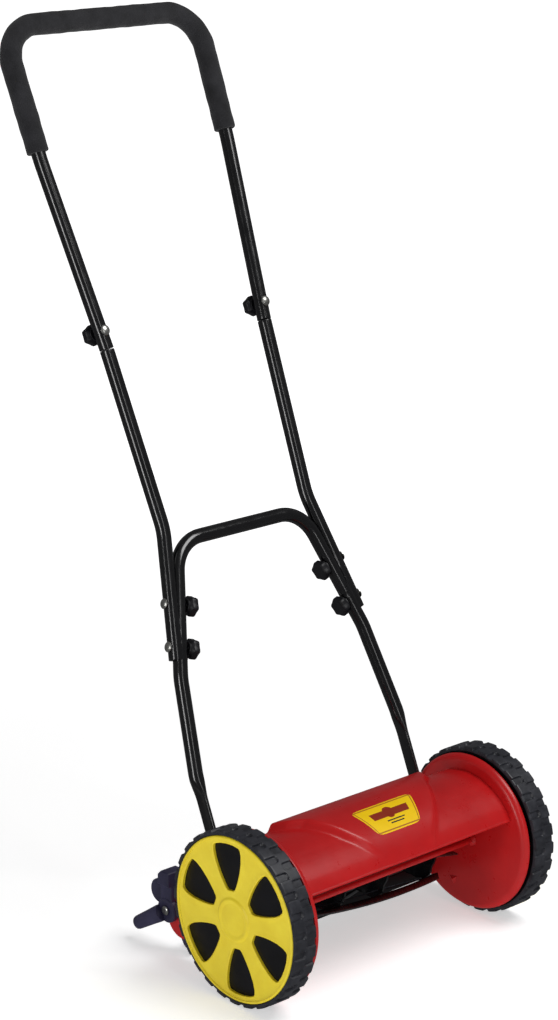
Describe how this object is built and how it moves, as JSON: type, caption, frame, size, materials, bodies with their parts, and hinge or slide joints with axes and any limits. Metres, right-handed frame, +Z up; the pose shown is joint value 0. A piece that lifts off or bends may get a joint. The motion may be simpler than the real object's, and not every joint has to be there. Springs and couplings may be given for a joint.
{
  "type": "push reel lawn mower",
  "caption": "Push reel mower: red side plates and deflector, yellow-capped wheels, geared helical reel, rear roller and folding black handle.",
  "frame": {"origin": "on the ground, at the middle of the whole mower seen from above", "axes": "+Z up, -Y forward (the way it is pushed), +X to the side along the axle"},
  "size_m": [0.44, 0.6104, 1.1057],
  "materials": {
    "red_enamel": "gloss red enamel",
    "black_enamel": "gloss black powder coat",
    "black_plastic": "moulded matt black",
    "yellow_plastic": "moulded satin yellow",
    "tyre_rubber": "matt",
    "grip_foam": "soft matt foam",
    "zinc_plate": "zinc plated",
    "blade_steel": "ground steel",
    "bearing_bronze": "sintered bronze"
  },
  "bodies": {
    "chassis": {"side_plate_left": "red_enamel", "side_plate_right": "red_enamel", "deflector_cover": "red_enamel", "cross_rod": "red_enamel", "bed_bar": "black_enamel", "bed_knife": "blade_steel", "knife_screw_left": "zinc_plate", "knife_screw_right": "zinc_plate", "axle_bolt_left": "zinc_plate", "axle_bolt_right": "zinc_plate", "reel_bearing_left": "bearing_bronze", "reel_bearing_right": "bearing_bronze", "handle_pivot_bolt_left": "zinc_plate", "handle_pivot_bolt_right": "zinc_plate", "height_pivot_screw_left": "zinc_plate", "height_pivot_screw_right": "zinc_plate"},
    "left_wheel": {"wheel_left": "black_plastic", "tyre_left": "tyre_rubber", "hub_cap_left": "yellow_plastic"},
    "right_wheel": {"wheel_right": "black_plastic", "tyre_right": "tyre_rubber", "hub_cap_right": "yellow_plastic"},
    "reel": {"reel_shaft": "blade_steel", "reel_disc_1": "black_enamel", "reel_disc_2": "black_enamel", "reel_disc_3": "black_enamel", "reel_disc_4": "black_enamel", "reel_blade_1": "blade_steel", "reel_blade_2": "blade_steel", "reel_blade_3": "blade_steel", "reel_blade_4": "blade_steel", "reel_blade_5": "blade_steel", "pawl_left": "blade_steel", "pawl_right": "blade_steel"},
    "pinion_left_body": {"pinion_left": "blade_steel"},
    "pinion_right_body": {"pinion_right": "blade_steel"},
    "roller_frame": {"roller_bracket_left": "black_plastic", "roller_bracket_right": "black_plastic", "roller_shaft": "zinc_plate"},
    "roller": {"rear_roller": "black_plastic"},
    "handle": {"lower_handle": "black_enamel", "middle_tube_left": "black_enamel", "middle_tube_right": "black_enamel", "upper_handle": "black_enamel", "foam_grip": "grip_foam", "bolt_lower_1_left": "zinc_plate", "bolt_lower_2_left": "zinc_plate", "bolt_lower_1_right": "zinc_plate", "bolt_lower_2_right": "zinc_plate", "bolt_upper_left": "zinc_plate", "bolt_upper_right": "zinc_plate"},
    "knob_lower_1_left_body": {"knob_lower_1_left": "black_plastic"},
    "knob_lower_2_left_body": {"knob_lower_2_left": "black_plastic"},
    "knob_lower_1_right_body": {"knob_lower_1_right": "black_plastic"},
    "knob_lower_2_right_body": {"knob_lower_2_right": "black_plastic"},
    "knob_upper_left_body": {"knob_upper_left": "black_plastic"},
    "knob_upper_right_body": {"knob_upper_right": "black_plastic"}
  },
  "joints": [
    {"name": "left_wheel_spin", "type": "hinge", "parent": "chassis", "child": "left_wheel", "pos_m": [-0.186, -0.19773, 0.1075], "axis": [1, 0, 0], "continuous": true},
    {"name": "right_wheel_spin", "type": "hinge", "parent": "chassis", "child": "right_wheel", "pos_m": [0.186, -0.19773, 0.1075], "axis": [1, 0, 0], "continuous": true},
    {"name": "reel_spin", "type": "hinge", "parent": "chassis", "child": "reel", "pos_m": [0, -0.15888, 0.08684], "axis": [1, 0, 0], "continuous": true},
    {"name": "pinion_left_spin", "type": "hinge", "parent": "chassis", "child": "pinion_left_body", "pos_m": [0, -0.15888, 0.08684], "axis": [1, 0, 0], "continuous": true},
    {"name": "pinion_right_spin", "type": "hinge", "parent": "chassis", "child": "pinion_right_body", "pos_m": [0, -0.15888, 0.08684], "axis": [1, 0, 0], "continuous": true},
    {"name": "height_adjust", "type": "hinge", "parent": "chassis", "child": "roller_frame", "pos_m": [0, -0.03473, 0.0545], "axis": [1, 0, 0], "range_deg": [-10, 22]},
    {"name": "roller_spin", "type": "hinge", "parent": "roller_frame", "child": "roller", "pos_m": [0, -0.05973, 0.018], "axis": [1, 0, 0], "continuous": true},
    {"name": "handle_pivot", "type": "hinge", "parent": "chassis", "child": "handle", "pos_m": [0, -0.13153, 0.1075], "axis": [1, 0, 0], "range_deg": [0, 35]},
    {"name": "knob_lower_1_left_turn", "type": "hinge", "parent": "handle", "child": "knob_lower_1_left_body", "pos_m": [-0.126, 0.00435, 0.4235], "axis": [-0.9562, 0.1157, 0.269], "continuous": true},
    {"name": "knob_lower_2_left_turn", "type": "hinge", "parent": "handle", "child": "knob_lower_2_left_body", "pos_m": [-0.14133, -0.01543, 0.3775], "axis": [-0.9562, 0.1157, 0.269], "continuous": true},
    {"name": "knob_lower_1_right_turn", "type": "hinge", "parent": "handle", "child": "knob_lower_1_right_body", "pos_m": [0.126, 0.00435, 0.4235], "axis": [0.9562, 0.1157, 0.269], "continuous": true},
    {"name": "knob_lower_2_right_turn", "type": "hinge", "parent": "handle", "child": "knob_lower_2_right_body", "pos_m": [0.14133, -0.01543, 0.3775], "axis": [0.9562, 0.1157, 0.269], "continuous": true},
    {"name": "knob_upper_left_turn", "type": "hinge", "parent": "handle", "child": "knob_upper_left_body", "pos_m": [-0.1306, 0.1398, 0.7385], "axis": [0, -0.9187, 0.395], "continuous": true},
    {"name": "knob_upper_right_turn", "type": "hinge", "parent": "handle", "child": "knob_upper_right_body", "pos_m": [0.1306, 0.1398, 0.7385], "axis": [0, -0.9187, 0.395], "continuous": true}
  ],
  "couplings": [
    {"joint": "reel_spin", "follows": "left_wheel_spin", "ratio": 3.75},
    {"joint": "pinion_left_spin", "follows": "left_wheel_spin", "ratio": 3.75},
    {"joint": "pinion_right_spin", "follows": "right_wheel_spin", "ratio": 3.75}
  ]
}
